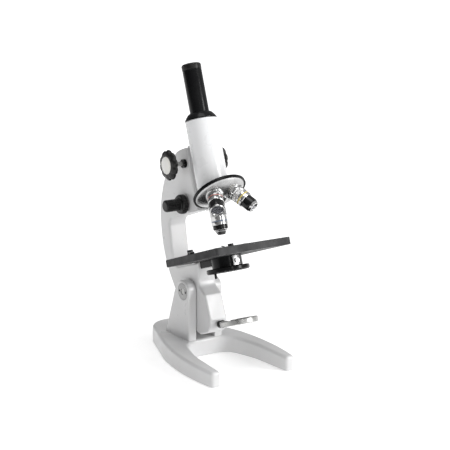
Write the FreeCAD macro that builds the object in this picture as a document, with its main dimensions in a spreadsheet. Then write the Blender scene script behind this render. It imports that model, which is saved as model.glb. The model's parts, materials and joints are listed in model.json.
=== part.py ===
"""Student microscope with a tilting arm, a three-objective nosepiece, rack and screw focus, stage and mirror.

World frame: millimetres, +Z up, front towards -Y, origin on the table under the middle of the foot.
Everything above the foot is laid out in the arm frame: its origin is the hinge axis, its Z runs along the
tube and its Y runs to the back. The arm frame leans back by lean_angle in the rest position.
"""
import FreeCAD, Part
import Sketcher
import math
import os

Vector = FreeCAD.Vector
Placement = FreeCAD.Placement
Rotation = FreeCAD.Rotation

X_AXIS = Vector(1, 0, 0)
Y_AXIS = Vector(0, 1, 0)
Z_AXIS = Vector(0, 0, 1)
TINY = 1e-9

# Driving dimensions: alias, number (mm or degrees), meaning.
DIMENSIONS = [
    ("lean_angle", 18.93, "lean of the arm at rest"),
    ("hinge_back", 17, "hinge axis behind the middle of the foot"),
    ("hinge_height", 88, "hinge axis above the table"),
    ("foot_gap", 1, "rubber feet standing proud of the casting"),
    ("foot_top", 20, "top of the horseshoe"),
    ("foot_reach", 109, "half length of the foot"),
    ("toe_outer", 62.5, "outer side of a toe"),
    ("toe_inner", 49.5, "inner side of a toe"),
    ("heel_top", 24, "top of the foot at the ears"),
    ("ear_inner", 14.5, "inner face of an ear"),
    ("ear_outer", 26.5, "outer face of an ear"),
    ("ear_front", 3.3, "front edge of an ear"),
    ("ear_top", 102.4, "top of an ear"),
    ("cap_radius", 11.2, "hinge nut"),
    ("cap_depth", 3, "hinge nut counterbore"),
    ("pin_radius", 6, "hinge pin"),
    ("pin_thread", 4, "threaded end of the hinge pin"),
    ("bush_wall", 2, "wall of the hinge bush"),
    ("running", 0.05, "running clearance"),
    ("gap", 0.15, "clearance between sliding faces"),
    ("limb_half", 13.5, "half width of the limb"),
    ("head_front", 34, "front face of the limb head"),
    ("head_bottom", 98, "underside of the head"),
    ("head_top", 180, "top of the head"),
    ("bracket_top", 33.5, "stage seat on the limb"),
    ("bracket_front", 30, "front of the stage seat"),
    ("edge_round", 3, "rounded edges of the castings"),
    ("axis_front", 77, "optical axis in front of the hinge"),
    ("stage_half_width", 55, "half width of the stage"),
    ("stage_front", 145.5, "front edge of the stage"),
    ("stage_rear", 18.5, "rear edge of the stage"),
    ("stage_thick", 9.5, "stage plate"),
    ("stage_hole", 12, "radius of the stage aperture"),
    ("clip_side", 31, "clip posts left and right"),
    ("clip_back", 44.5, "clip posts in front of the hinge"),
    ("drum_radius", 19.5, "condenser sleeve"),
    ("drum_bottom", 20, "lower end of the condenser sleeve"),
    ("iris_radius", 27.5, "iris housing"),
    ("iris_bottom", 14, "underside of the iris housing"),
    ("mirror_height", -50, "mirror centre below the hinge"),
    ("mirror_forward", 80, "mirror centre in front of the hinge"),
    ("mirror_radius", 24.5, "mirror ring"),
    ("mirror_thick", 7, "mirror ring"),
    ("rail_root", 6, "half width of the limb's rail at its root"),
    ("rail_tip", 8.5, "half width of the rail at its face"),
    ("rail_rise", 4.8, "height of the rail"),
    ("block_half", 14, "half width of the focus block"),
    ("block_front", 52, "front face of the focus block"),
    ("coarse_y", 42.5, "coarse shaft in front of the hinge"),
    ("coarse_z", 161, "coarse shaft above the hinge"),
    ("fine_y", 25.5, "fine shaft in front of the hinge"),
    ("fine_z", 111, "fine shaft above the hinge"),
    ("gear_module", 0.8, "rack and pinion module"),
    ("gear_teeth", 12, "pinion teeth"),
    ("coarse_radius", 19.8, "coarse knob"),
    ("coarse_inner", 34.5, "inner face of a coarse knob"),
    ("coarse_outer", 42.4, "outer face of a coarse knob"),
    ("fine_radius", 12.7, "skirt of the fine knob"),
    ("fine_grip", 7.8, "grip of the fine knob"),
    ("fine_inner", 16, "inner face of a fine knob"),
    ("fine_skirt_end", 24, "end of the skirt"),
    ("fine_outer", 45, "outer face of a fine knob"),
    ("tube_radius", 20.5, "body tube"),
    ("tube_wall", 3, "body tube wall"),
    ("tube_top", 210, "top of the body tube"),
    ("collar_top", 219, "top of the conical collar"),
    ("draw_radius", 12.4, "draw tube"),
    ("draw_bore", 11.65, "bore for a 23.2 mm eyepiece"),
    ("draw_bottom", 150, "lower end of the draw tube"),
    ("draw_top", 274.6, "upper end of the draw tube"),
    ("eyepiece_radius", 11.6, "eyepiece barrel"),
    ("rim_radius", 12.6, "rim of the eyepiece, for slip-on adapters"),
    ("eyepiece_top", 282.3, "top of the eyepiece"),
    ("nose_tilt", 24.65, "nosepiece axis leaning forward of the tube"),
    ("seat_height", 99.3, "objective shoulder on the optical axis"),
    ("seat_circle", 18, "objective shoulders around the nosepiece axis"),
    ("plate_radius", 35.1, "nosepiece plate"),
    ("plate_rise", 8.6, "nosepiece plate above the plane of the shoulders"),
    ("plate_thick", 3, "nosepiece plate"),
    ("thread_radius", 10.1, "objective thread"),
]

doc = FreeCAD.newDocument("Microscope")
sheet = doc.addObject("Spreadsheet::Sheet", "Sizes")
for row, (alias, number, meaning) in enumerate(DIMENSIONS, start=1):
    sheet.set("A%d" % row, meaning)
    sheet.set("B%d" % row, str(number))
    sheet.setAlias("B%d" % row, alias)
doc.recompute()


class Dim:
    """A number together with the sheet formula that gives it."""

    def __init__(self, value, text):
        self.value = value
        self.text = text

    def __add__(self, other):
        other = as_dim(other)
        return Dim(self.value + other.value, "(%s + %s)" % (self.text, other.text))

    def __sub__(self, other):
        other = as_dim(other)
        return Dim(self.value - other.value, "(%s - %s)" % (self.text, other.text))

    def __mul__(self, other):
        other = as_dim(other)
        return Dim(self.value * other.value, "(%s * %s)" % (self.text, other.text))

    def __truediv__(self, other):
        other = as_dim(other)
        return Dim(self.value / other.value, "(%s / %s)" % (self.text, other.text))

    def __neg__(self):
        return Dim(-self.value, "(-1 * %s)" % self.text)

    def __radd__(self, other):
        return as_dim(other) + self

    def __rsub__(self, other):
        return as_dim(other) - self

    def __rmul__(self, other):
        return as_dim(other) * self

    def __float__(self):
        return float(self.value)

    def __str__(self):
        return "%g mm" % self.value


def as_dim(value):
    if isinstance(value, Dim):
        return value
    return Dim(float(value), "(%.6f)" % value)


class SheetSizes:
    """Sheet cells by alias, as Dims."""

    def __getattr__(self, alias):
        return Dim(float(sheet.get(alias)), "Sizes." + alias)


s = SheetSizes()
subparts = []


# ---------------------------------------------------------------- helpers

def tilt_frame():
    """Placement of the arm frame in the world."""
    return Placement(Vector(0, s.hinge_back.value, s.hinge_height.value), Rotation(X_AXIS, -s.lean_angle.value))


ARM = tilt_frame()
WORLD = Placement()


def spot(x, y, z, rotation=Rotation()):
    return Placement(Vector(float(x), float(y), float(z)), rotation)


def along(direction, spin=0):
    """Rotation that points a local Z axis along direction after a spin about it."""
    return Rotation(Z_AXIS, direction) * Rotation(Z_AXIS, spin)


def finish(obj, label, frame, place=WORLD):
    """Names a finished sub-part, puts it in its frame and lists it for export."""
    obj.Label = label
    obj.Placement = frame * place
    subparts.append(obj)
    return obj


def drive(obj, **dims):
    """Binds properties of an object to their sheet formulas."""
    for name, dim in dims.items():
        obj.setExpression(name, as_dim(dim).text)
    return obj


def new_body(label):
    return doc.addObject("PartDesign::Body", label + "_body")


def new_sketch(body, role, offset=0):
    """Sketch on one of the body's own origin planes, moved along its normal."""
    sketch = body.newObject("Sketcher::SketchObject", "profile")
    plane = next(item for item in body.Origin.OriginFeatures if item.Role == role)
    sketch.AttachmentSupport = (plane, [""])
    sketch.MapMode = "FlatFace"
    drive(sketch, **{"AttachmentOffset.Base.z": offset})
    return sketch


def constrain(sketch, kind, references, dim):
    index = sketch.addConstraint(Sketcher.Constraint(kind, *references, dim.value))
    sketch.setExpression("Constraints[%d]" % index, dim.text)


def pin_point(sketch, edge, point, x, y):
    """Holds a sketch point at (x, y) from the sketch origin."""
    for kind, axis, dim in (("DistanceX", -2, as_dim(x)), ("DistanceY", -1, as_dim(y))):
        if abs(dim.value) < TINY:
            sketch.addConstraint(Sketcher.Constraint("PointOnObject", edge, point, axis))
        else:
            constrain(sketch, kind, (-1, 1, edge, point), dim)


def arc_between(start, end, radius):
    """Minor arc; a positive radius runs counter-clockwise from start to end."""
    chord = end - start
    normal = Vector(-chord.y, chord.x, 0).normalize()
    height = math.sqrt(max(radius * radius - chord.Length ** 2 / 4, 0))
    centre = (start + end) / 2 + normal * math.copysign(height, radius)
    first, last = (start, end) if radius > 0 else (end, start)
    angles = [math.atan2(point.y - centre.y, point.x - centre.x) for point in (first, last)]
    return Part.ArcOfCircle(Part.Circle(centre, Z_AXIS, abs(radius)), *angles)


def outline(sketch, corners):
    """Closed outline through (x, y) corners; a third value is the radius of the arc to the next corner."""
    points = [Vector(float(corner[0]), float(corner[1]), 0) for corner in corners]
    ends = []
    for index, corner in enumerate(corners):
        start, end = points[index], points[(index + 1) % len(points)]
        if len(corner) == 3:
            edge = sketch.addGeometry(arc_between(start, end, float(corner[2])))
            radius = as_dim(corner[2])
            ends.append((edge, 1, 2) if radius.value > 0 else (edge, 2, 1))
            constrain(sketch, "Radius", (edge,), radius if radius.value > 0 else -radius)
        else:
            edge = sketch.addGeometry(Part.LineSegment(start, end))
            ends.append((edge, 1, 2))
    for index, corner in enumerate(corners):
        edge, first, last = ends[index]
        following, start, _ = ends[(index + 1) % len(ends)]
        sketch.addConstraint(Sketcher.Constraint("Coincident", edge, last, following, start))
        pin_point(sketch, edge, first, corner[0], corner[1])
    return sketch


def ring(sketch, x, y, radius):
    """Circle of a bound radius about (x, y)."""
    radius = as_dim(radius)
    edge = sketch.addGeometry(Part.Circle(Vector(float(x), float(y), 0), Z_AXIS, radius.value))
    constrain(sketch, "Radius", (edge,), radius)
    pin_point(sketch, edge, 3, x, y)
    return sketch


def box_corners(x_low, x_high, y_low, y_high):
    return [(x_low, y_low), (x_high, y_low), (x_high, y_high), (x_low, y_high)]


def mirrored(corners):
    """Right-hand corners, bottom to top, followed by their mirror images top to bottom."""
    mirror = []
    for index in range(len(corners) - 1, -1, -1):
        corner = (-as_dim(corners[index][0]), corners[index][1])
        radius = corners[index - 1][2:] if index > 0 else ()
        mirror.append(corner + tuple(radius))
    return list(corners) + mirror


def pad(body, sketch, length):
    feature = body.newObject("PartDesign::Pad", "pad")
    feature.Profile = sketch
    return drive(feature, Length=length)


def cut(body, sketch, depth=None):
    """Pocket against the sketch's normal; without a depth it goes through everything both ways."""
    doc.recompute()
    before = body.Shape.Volume
    feature = body.newObject("PartDesign::Pocket", "cut")
    feature.Profile = sketch
    if depth is None:
        feature.SideType = "Symmetric"
        feature.Type = "ThroughAll"
    else:
        drive(feature, Length=depth)
    doc.recompute()
    if body.Shape.Volume > before - TINY:
        raise RuntimeError("pocket removes nothing in " + body.Name)
    return feature


def turn(body, sketch):
    feature = body.newObject("PartDesign::Revolution", "turn")
    feature.Profile = sketch
    feature.ReferenceAxis = (sketch, ["V_Axis"])
    feature.Angle = 360
    return feature


def turned(label, frame, place, corners):
    """Round piece: (radius, height) corners revolved about its own Z axis."""
    body = new_body(label)
    turn(body, outline(new_sketch(body, "XZ_Plane"), corners))
    return finish(body, label, frame, place)


def repeat_round(body, feature, count):
    """Repeats a cut evenly around the body's Z axis."""
    pattern = body.newObject("PartDesign::PolarPattern", "pattern")
    pattern.Originals = [feature]
    pattern.Axis = (feature.Profile[0], ["N_Axis"])
    pattern.Angle = 360
    pattern.Occurrences = count
    body.Tip = pattern
    return pattern


def round_edges(body, feature, radius, wanted):
    """Fillets the edges for which wanted(edge) holds."""
    doc.recompute()
    names = ["Edge%d" % (index + 1) for index, edge in enumerate(feature.Shape.Edges) if wanted(edge)]
    fillet = body.newObject("PartDesign::Fillet", "round")
    fillet.Base = (feature, names)
    drive(fillet, Radius=radius)
    doc.recompute()
    if not names or "Invalid" in fillet.State or fillet.Shape.isNull():
        raise RuntimeError("cannot round %s of %s by %s" % (names, body.Name, radius))
    return fillet


def straight(corners):
    """Corners without their rounding radii."""
    return [corner[:2] for corner in corners]


def round_corners(body, feature, corners, view, start=None):
    """Rounds the edges that stand on sketch corners by each corner's third value."""
    for corner in corners:
        if len(corner) == 3:
            feature = round_edges(body, feature, corner[2], lambda edge: stands_on(edge, corner, view, start))
    return feature


def stands_on(edge, corner, view, start):
    point = middle(edge)
    across, up = view(point)
    beside = start is None or (point.x > 0) == (float(start) > 0)
    return beside and math.hypot(across - float(corner[0]), up - float(corner[1])) < 0.01


def middle(edge):
    return edge.valueAt((edge.FirstParameter + edge.LastParameter) / 2)


def crown_radius(half_width, rise):
    """Radius of a shallow crown of that half width and rise, level at its middle."""
    half_width, rise = as_dim(half_width), as_dim(rise)
    return (half_width * half_width + rise * rise) / (2 * rise)


def cylinder(radius, height, place):
    """Cylinder along its own Z axis from place."""
    obj = doc.addObject("Part::Cylinder", "cylinder")
    drive(obj, Radius=radius, Height=height)
    obj.Placement = place
    return obj


def block(size_x, size_y, size_z, place):
    obj = doc.addObject("Part::Box", "block")
    drive(obj, Length=size_x, Width=size_y, Height=size_z)
    obj.Placement = place
    return obj


def fuse(*pieces):
    obj = doc.addObject("Part::MultiFuse", "fuse")
    obj.Shapes = list(pieces)
    obj.Refine = True
    return obj


def subtract(base, *tools):
    obj = doc.addObject("Part::Cut", "subtract")
    obj.Base = base
    obj.Tool = tools[0] if len(tools) == 1 else fuse(*tools)
    return obj


def group(label, frame, pieces, place=WORLD):
    """Identical separate solids in one node."""
    obj = doc.addObject("Part::Compound", label + "_group")
    obj.Links = list(pieces)
    return finish(obj, label, frame, place)


def tube(outer, inner, height, place):
    """Plain ring or tube along its own Z axis."""
    bore = cylinder(inner, as_dim(height) + 2, place * spot(0, 0, -1))
    return subtract(cylinder(outer, height, place), bore)


SLOPE_END = 5
STOP_PIN = (28.75, 37.15)
ALONG_X = along(X_AXIS)
OPTICAL = spot(0, -s.axis_front.value, 0)


# ---------------------------------------------------------------- foot

def base_casting():
    """Horseshoe foot, higher at the heel than at the toes, with two ears for the hinge."""
    body = new_body("base_casting")
    reach = s.foot_reach
    right = [(s.toe_inner, -reach, 4), (s.toe_outer, -reach, 5), (69, -59, 290), (58.75, 9.3, 225)]
    left = [(-as_dim(x), y, radius) for x, y, radius in reversed(right)]
    rear = [(0, 170.2, 31.95)]
    inner = [(-45.5, -45, 110), (-32, 1.5, 24), (32, 1.5, 24), (45.5, -45, 110)]
    corners = right + rear + left + inner
    slab = pad(body, outline(new_sketch(body, "XY_Plane", s.foot_gap), straight(corners)), s.heel_top - s.foot_gap)
    slab = round_corners(body, slab, corners, from_above)
    slope = [(-reach - 5, s.foot_top - 0.2), (SLOPE_END, s.heel_top), (SLOPE_END, 40), (-reach - 5, 40)]
    slab = cut(body, outline(new_sketch(body, "YZ_Plane"), slope))
    round_edges(body, slab, 4, is_foot_rim)

    ear_corners = [(s.ear_front, s.heel_top - 2), (61.8, s.heel_top - 2), (37.5, 87.2, 14), (26, s.ear_top, 12),
                   (s.ear_front, s.ear_top, 13)]
    for start in (s.ear_inner, -s.ear_outer):
        sketch = outline(new_sketch(body, "YZ_Plane", start), straight(ear_corners))
        ear = round_corners(body, pad(body, sketch, s.ear_outer - s.ear_inner), ear_corners, from_side, start)
        side = math.copysign(s.ear_outer.value, float(start))
        round_edges(body, ear, 2.5, lambda edge, side=side: is_ear_edge(edge, side))

    cut(body, ring(new_sketch(body, "YZ_Plane"), s.hinge_back, s.hinge_height, s.pin_radius))
    for near in (s.ear_outer, -s.ear_outer + s.cap_depth):
        cap = ring(new_sketch(body, "YZ_Plane", near), s.hinge_back, s.hinge_height, s.cap_radius + 0.3)
        cut(body, cap, s.cap_depth)
    for x in (-s.ear_inner, s.ear_inner + 3):
        cut(body, ring(new_sketch(body, "YZ_Plane", x), *STOP_PIN, 3), 3)
    for x, y in foot_places():
        cut(body, ring(new_sketch(body, "XY_Plane", s.foot_gap + 2), x, y, 5), 2)
    return finish(body, "base_casting", WORLD)


def is_foot_rim(edge):
    """Edges round the top of the foot, apart from the crease where the slope ends."""
    point = middle(edge)
    share = min(1, (point.y + s.foot_reach.value + 5) / (s.foot_reach.value + 5 + SLOPE_END))
    top = s.foot_top.value - 0.2 + share * (s.heel_top.value - s.foot_top.value + 0.2)
    crease = edge.BoundBox.YMax - edge.BoundBox.YMin < 0.01 and abs(point.y - SLOPE_END) < 0.01
    return abs(point.z - top) < 0.15 and edge.BoundBox.ZMax - edge.BoundBox.ZMin < 5 and not crease


def from_above(point):
    return point.x, point.y


def from_side(point):
    return point.y, point.z


def is_ear_edge(edge, side):
    box = edge.BoundBox
    flat = abs(box.XMin - side) < 0.01 and abs(box.XMax - side) < 0.01
    return flat and box.ZMax > s.heel_top.value + 10


def foot_places():
    return [(56, -97), (-56, -97), (21, 78), (-21, 78)]


def base_feet():
    pads = [cylinder(5, s.foot_gap + 2, spot(x, y, 0)) for x, y in foot_places()]
    group("base_feet", WORLD, pads)


def hinge():
    """Pin through the ears, its two spanner nuts and the friction washers."""
    at_hinge = spot(0, s.hinge_back, s.hinge_height, ALONG_X)
    inner_end = s.ear_outer - s.cap_depth
    outer_end = s.ear_outer - 0.6
    turned("hinge_pin", WORLD, at_hinge, [
        (0, -outer_end), (s.pin_thread, -outer_end), (s.pin_thread, -inner_end), (s.pin_radius, -inner_end),
        (s.pin_radius, inner_end), (s.pin_thread, inner_end), (s.pin_thread, outer_end), (0, outer_end),
    ])
    nuts = []
    for side in (-1, 1):
        low = inner_end.value if side > 0 else -s.ear_outer.value
        start = at_hinge * spot(0, 0, low)
        disc = tube(s.cap_radius, s.pin_thread, s.cap_depth, start)
        holes = [cylinder(1.5, 6, start * spot(0, offset, -1)) for offset in (-7.4, 7.4)]
        nuts.append(subtract(disc, *holes))
    group("hinge_nuts", WORLD, nuts)
    thick = s.ear_inner - s.limb_half - 2 * s.running
    washers = [
        tube(12, s.pin_radius + s.running, thick, at_hinge * spot(0, 0, low))
        for low in (s.limb_half.value + s.running.value, -s.ear_inner.value + s.running.value)
    ]
    group("hinge_washers", WORLD, washers)


def stop_pin():
    """Cross pin that the limb's heel meets when the arm is upright."""
    reach = s.ear_inner + 2.9
    finish(cylinder(3, 2 * reach, WORLD), "upright_stop_pin", WORLD, spot(-reach, *STOP_PIN, ALONG_X))


# ---------------------------------------------------------------- arm

def limb_casting():
    """C-shaped limb: heel at the hinge, seat for the stage, head for the focus block."""
    body = new_body("limb_casting")
    corners = [
        (-s.head_front, s.head_bottom), (24.4, s.head_bottom, 11), (34.4, s.bracket_top, 11),
        (-s.bracket_front, s.bracket_top), (-s.bracket_front, 25, 5), (-21, 9, 10), (-21.5, 2, 8), (-31, -10, 5),
        (-33.8, -59, 17), (2.1, -59, 14), (37.5, -8.4, 180), (56, 52, 132), (38.4, 152.4, 118),
        (-25, s.head_top, 8), (-s.head_front, s.head_top),
    ]
    sketch = outline(new_sketch(body, "YZ_Plane", -s.limb_half), straight(corners))
    shell = round_corners(body, pad(body, sketch, 2 * s.limb_half), corners, from_side)
    round_edges(body, shell, s.edge_round, is_limb_rim)
    middle_z = s.fine_z
    cavity = outline(new_sketch(body, "YZ_Plane", 9), box_corners(-s.head_front - 1, -17, middle_z - 9,
                                                                 middle_z + 12))
    cut(body, cavity, 18)
    rail = [(s.rail_root, -s.head_front + 1), (s.rail_root, -s.head_front),
            (s.rail_tip, -s.head_front - s.rail_rise)]
    for low, high in rail_spans():
        sketch = outline(new_sketch(body, "XY_Plane", low), mirrored(rail))
        pad(body, sketch, high - low)
    cut(body, ring(new_sketch(body, "YZ_Plane"), 0, 0, s.pin_radius + s.bush_wall))
    cut(body, ring(new_sketch(body, "YZ_Plane"), -s.fine_y, s.fine_z, 4.5))
    for x in (-8, 8):
        cut(body, ring(new_sketch(body, "XY_Plane", s.bracket_top), x, -24, 1.7), 14)
    cut(body, ring(new_sketch(body, "XZ_Plane", 33), 0, s.mirror_height, 3), 14)
    return finish(body, "limb_casting", ARM)


def is_limb_rim(edge):
    """Edges of the two side faces, apart from the head's flat front."""
    box = edge.BoundBox
    on_side = abs(abs(box.XMin) - s.limb_half.value) < 0.01 and abs(box.XMax - box.XMin) < 0.01
    return on_side and box.YMax > -s.head_front.value + 0.1


def rail_spans():
    """Lengths of the focus block's guide rail, clear of the wedge and of the pinion."""
    return [(as_dim(126), as_dim(151)), (as_dim(170), as_dim(178))]


def hinge_bush():
    length = 2 * s.limb_half - 0.2
    at_hinge = spot(-s.limb_half + 0.1, 0, 0, ALONG_X)
    finish(tube(s.pin_radius + s.bush_wall, s.pin_radius + s.running, length, WORLD), "hinge_bush", ARM, at_hinge)


def stage():
    """Stage plate with aperture, clip sockets and screw holes."""
    body = new_body("stage_plate")
    sketch = new_sketch(body, "XY_Plane", s.bracket_top)
    outline(sketch, box_corners(-s.stage_half_width, s.stage_half_width, -s.stage_front, -s.stage_rear))
    plate = pad(body, sketch, s.stage_thick)
    plate = round_edges(body, plate, 3, lambda edge: abs(edge.tangentAt(edge.FirstParameter).z) > 0.99)
    round_edges(body, plate, 0.8, lambda edge: edge.BoundBox.ZMin > (s.bracket_top + s.stage_thick).value - 0.01)
    cut(body, ring(new_sketch(body, "XY_Plane"), 0, -s.axis_front, s.stage_hole))
    for x in (-8, 8):
        cut(body, ring(new_sketch(body, "XY_Plane"), x, -24, 1.7))
        cut(body, ring(new_sketch(body, "XY_Plane", s.bracket_top + s.stage_thick), x, -24, 3.2), 3.5)
    for side in (-1, 1):
        cut(body, ring(new_sketch(body, "XY_Plane"), side * s.clip_side, -s.clip_back, 2))
    return finish(body, "stage_plate", ARM)


def stage_screws():
    top = s.bracket_top + s.stage_thick
    screws = []
    for x in (-8, 8):
        head = cylinder(3, 3, spot(x, -24, top.value - 3.3))
        socket = cylinder(1.3, 2, spot(x, -24, top.value - 1.8))
        shank = cylinder(1.6, 18, spot(x, -24, top.value - 21))
        screws.append(fuse(subtract(head, socket), shank))
    group("stage_screws", ARM, screws)


def clips():
    """Two spring clips that swing on headed posts."""
    top = s.bracket_top + s.stage_thick
    leaf_low = 1.2
    for name, side, swing in (("left", -1, -28), ("right", 1, 28)):
        at_post = spot(side * s.clip_side, -s.clip_back, top)
        body = new_body("clip_" + name)
        sketch = new_sketch(body, "XY_Plane", leaf_low)
        outline(sketch, [(-3, -42, 3.3), (3, -42), (4.5, -4), (4.5, 6, 4.9), (-4.5, 6), (-4.5, -4)])
        pad(body, sketch, 0.7)
        toe = [(-36, leaf_low), (-44, 0.3), (-44, 1), (-36, leaf_low + 0.7)]
        heel = [(4, leaf_low), (14, 6.2), (14, 6.9), (4, leaf_low + 0.7)]
        for bend in (toe, heel):
            pad(body, outline(new_sketch(body, "YZ_Plane", -3), bend), 6)
        cut(body, ring(new_sketch(body, "XY_Plane"), 0, 0, s.running + 2))
        finish(body, "clip_" + name, ARM, at_post * Placement(Vector(), Rotation(Z_AXIS, swing)))
    posts = []
    for side in (-1, 1):
        at_post = spot(side * s.clip_side, -s.clip_back, top)
        stem = cylinder(1.99, 13, at_post * spot(0, 0, -8))
        head = cylinder(3.8, 3.6, at_post * spot(0, 0, 3.4))
        collar = tube(3.4, 1.99, 1.1, at_post * spot(0, 0, 0.02))
        spacer = tube(3.2, 1.99, 1.4, at_post * spot(0, 0, 2))
        posts.append(fuse(stem, head, collar, spacer))
    group("clip_posts", ARM, posts)


def condenser():
    """Sleeve under the stage with its lens, clamp and iris diaphragm."""
    top = s.bracket_top
    turned("condenser_sleeve", ARM, OPTICAL, [
        (s.drum_radius - 5, s.drum_bottom), (s.drum_radius, s.drum_bottom), (s.drum_radius, top),
        (11, top), (11, top - 3), (s.drum_radius - 5, top - 3),
    ])
    turned("condenser_lens", ARM, OPTICAL, [
        (0, top - 8.4), (10.8, top - 8.4), (10.8, top - 3.2, crown_radius(10.8, 1.8)), (0, top - 1.4),
    ])
    turned("condenser_ring", ARM, OPTICAL, [
        (9, top - 11.6), (s.drum_radius - 5, top - 11.6), (s.drum_radius - 5, top - 3.2), (10.9, top - 3.2),
        (10.9, top - 8.6), (9, top - 8.6),
    ])
    turned("iris_housing", ARM, OPTICAL, [
        (16, s.iris_bottom + 4), (24, s.iris_bottom + 4), (24, s.iris_bottom), (s.iris_radius - 1.5, s.iris_bottom),
        (s.iris_radius, s.iris_bottom + 1.5), (s.iris_radius, s.drum_bottom - 1), (s.iris_radius - 1, s.drum_bottom),
        (s.drum_radius - 5, s.drum_bottom), (s.drum_radius - 5, s.iris_bottom + 5), (16, s.iris_bottom + 5),
    ])
    shelf = block(2 * 11, 29, 9, spot(-11, -s.axis_front + 18, top - 9))
    sleeve_space = cylinder(s.drum_radius, 20, OPTICAL * spot(0, 0, top - 15))
    seat_space = block(40, 40, 20, spot(-20, -s.bracket_front, top - 15))
    finish(subtract(shelf, sleeve_space, seat_space), "condenser_bracket", ARM)
    clamp = tube(s.drum_radius + 2, s.drum_radius, 12, OPTICAL * spot(0, 0, s.drum_bottom.value + 0.5))
    window = block(11, 14, 12, OPTICAL * spot(-4, -s.drum_radius - 10, s.drum_bottom.value + 0.5))
    plate = doc.addObject("Part::Common", "clamp_plate")
    plate.Base = clamp
    plate.Tool = window
    screw_axis = spot(1.5, -s.axis_front - s.drum_radius - 3.6, s.drum_bottom + 6, along(Y_AXIS))
    finish(fuse(plate, cylinder(3, 3, screw_axis)), "condenser_clamp", ARM)


def iris():
    """Ring that turns in the housing with a lever pin, and the leaves it carries."""
    low = s.iris_bottom
    ring_body = new_body("iris_ring")
    turn(ring_body, outline(new_sketch(ring_body, "XZ_Plane"), [
        (14, low + 0.4), (23.9, low + 0.4), (23.9, low + 2.4), (14, low + 2.4),
    ]))
    lever = ring(new_sketch(ring_body, "XY_Plane", low - 6.5), -20, 0, 1.6)
    pad(ring_body, lever, 8)
    finish(ring_body, "iris_ring", ARM, OPTICAL)
    turned("iris_leaves", ARM, OPTICAL, [(5, low + 2.5), (22, low + 2.5), (22, low + 3.1), (5, low + 3.1)])


def mirror():
    """Two-sided mirror that tilts on a knuckle, which turns on a stub in the heel."""
    height = s.mirror_height
    to_front = along(-Y_AXIS)
    stub = spot(0, -21, height, to_front)
    turned("mirror_stub", ARM, stub, [(0, 0), (2.99, 0), (2.99, 13.2), (2.5, 13.2), (2.5, 21.5), (0, 21.5)])
    knuckle = new_body("mirror_knuckle")
    turn(knuckle, outline(new_sketch(knuckle, "XZ_Plane"), [
        (2.55, 13.4), (5, 13.4), (5, 20), (4, 22), (4, 23), (0, 23), (0, 22), (2.55, 22),
    ]))
    for x in (-4.4, 1.6):
        ear = outline(new_sketch(knuckle, "YZ_Plane", x), [(-3.2, 22.5), (3.2, 22.5), (3.2, 28, 3.2), (0, 31.2, 3.2),
                                                          (-3.2, 28)])
        pad(knuckle, ear, 2.8)
    cut(knuckle, ring(new_sketch(knuckle, "YZ_Plane"), 0, 28, 1.25))
    finish(knuckle, "mirror_knuckle", ARM, stub)
    pivot = stub * spot(-5.4, 0, 28, ALONG_X)
    finish(fuse(cylinder(1.2, 10.4, WORLD), cylinder(2.6, 1, WORLD), cylinder(2.6, 1, spot(0, 0, 9.8))),
           "mirror_pivot_screw", ARM, pivot)

    centre = spot(0, -s.mirror_forward, height)
    rim = new_body("mirror_ring")
    half = s.mirror_thick / 2
    radius = s.mirror_radius
    turn(rim, outline(new_sketch(rim, "XZ_Plane"), [
        (radius - 2.5, -half), (radius - 0.8, -half), (radius, -half + 1), (radius, half - 1), (radius - 0.8, half),
        (radius - 2.5, half), (radius - 2.5, 0.6), (radius - 4, 0.6), (radius - 4, -0.6), (radius - 2.5, -0.6),
    ]))
    lug = [(radius - 1.5, -1.4), (s.mirror_forward - 21 - 28, -2.4, 2.7), (s.mirror_forward - 21 - 28, 2.4),
           (radius - 1.5, 1.4)]
    pad(rim, outline(new_sketch(rim, "YZ_Plane", -1.4), lug), 2.8)
    cut(rim, ring(new_sketch(rim, "YZ_Plane"), s.mirror_forward - 21 - 28, 0, 1.2 + s.running))
    finish(rim, "mirror_ring", ARM, centre)
    turned("plane_mirror", ARM, centre, [(0, 0.7), (radius - 2.6, 0.7), (radius - 2.6, 2.7), (0, 2.7)])
    turned("concave_mirror", ARM, centre, [
        (0, -1.2), (0, -0.7), (radius - 2.6, -0.7), (radius - 2.6, -2.9, -crown_radius(radius - 2.6, 1.7)),
    ])


# ---------------------------------------------------------------- focus

def focus_block():
    """Block that slides on the limb's rails and carries the pinion and the tube's guide."""
    body = new_body("focus_block")
    back = s.head_front + s.gap
    corners = mirrored([(s.block_half, -s.block_front), (s.block_half, -back)])
    shell = pad(body, outline(new_sketch(body, "XY_Plane", s.head_bottom), corners), s.head_top - s.head_bottom)
    round_edges(body, shell, 2.5, lambda edge: middle(edge).y < -s.block_front.value + 0.1)
    root = s.rail_root + 2 * s.gap
    rear = mirrored([(root, -back + 1), (root, -back), (s.rail_tip + 0.4, -back - s.rail_rise - 0.2)])
    cut(body, outline(new_sketch(body, "XY_Plane", s.head_top + 1), rear), s.head_top - 120)
    front = mirrored([(7, -s.block_front - 1), (7, -s.block_front), (9.5, -s.block_front + 4)])
    cut(body, outline(new_sketch(body, "XY_Plane"), front))
    channel = box_corners(-4.6, 4.6, -s.block_front + 3, -s.block_front + 5.9)
    cut(body, outline(new_sketch(body, "XY_Plane"), channel))
    cut(body, ring(new_sketch(body, "YZ_Plane"), -s.coarse_y, s.coarse_z, 4.6))
    cut(body, ring(new_sketch(body, "YZ_Plane", 4.6), -s.coarse_y, s.coarse_z, 6.4), 9.2)
    cut(body, ring(new_sketch(body, "XZ_Plane", back + 6), 0, lifter_height(), 2.5), 7)
    return finish(body, "focus_block", ARM)


def lifter_height():
    return s.fine_z + 8


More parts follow.
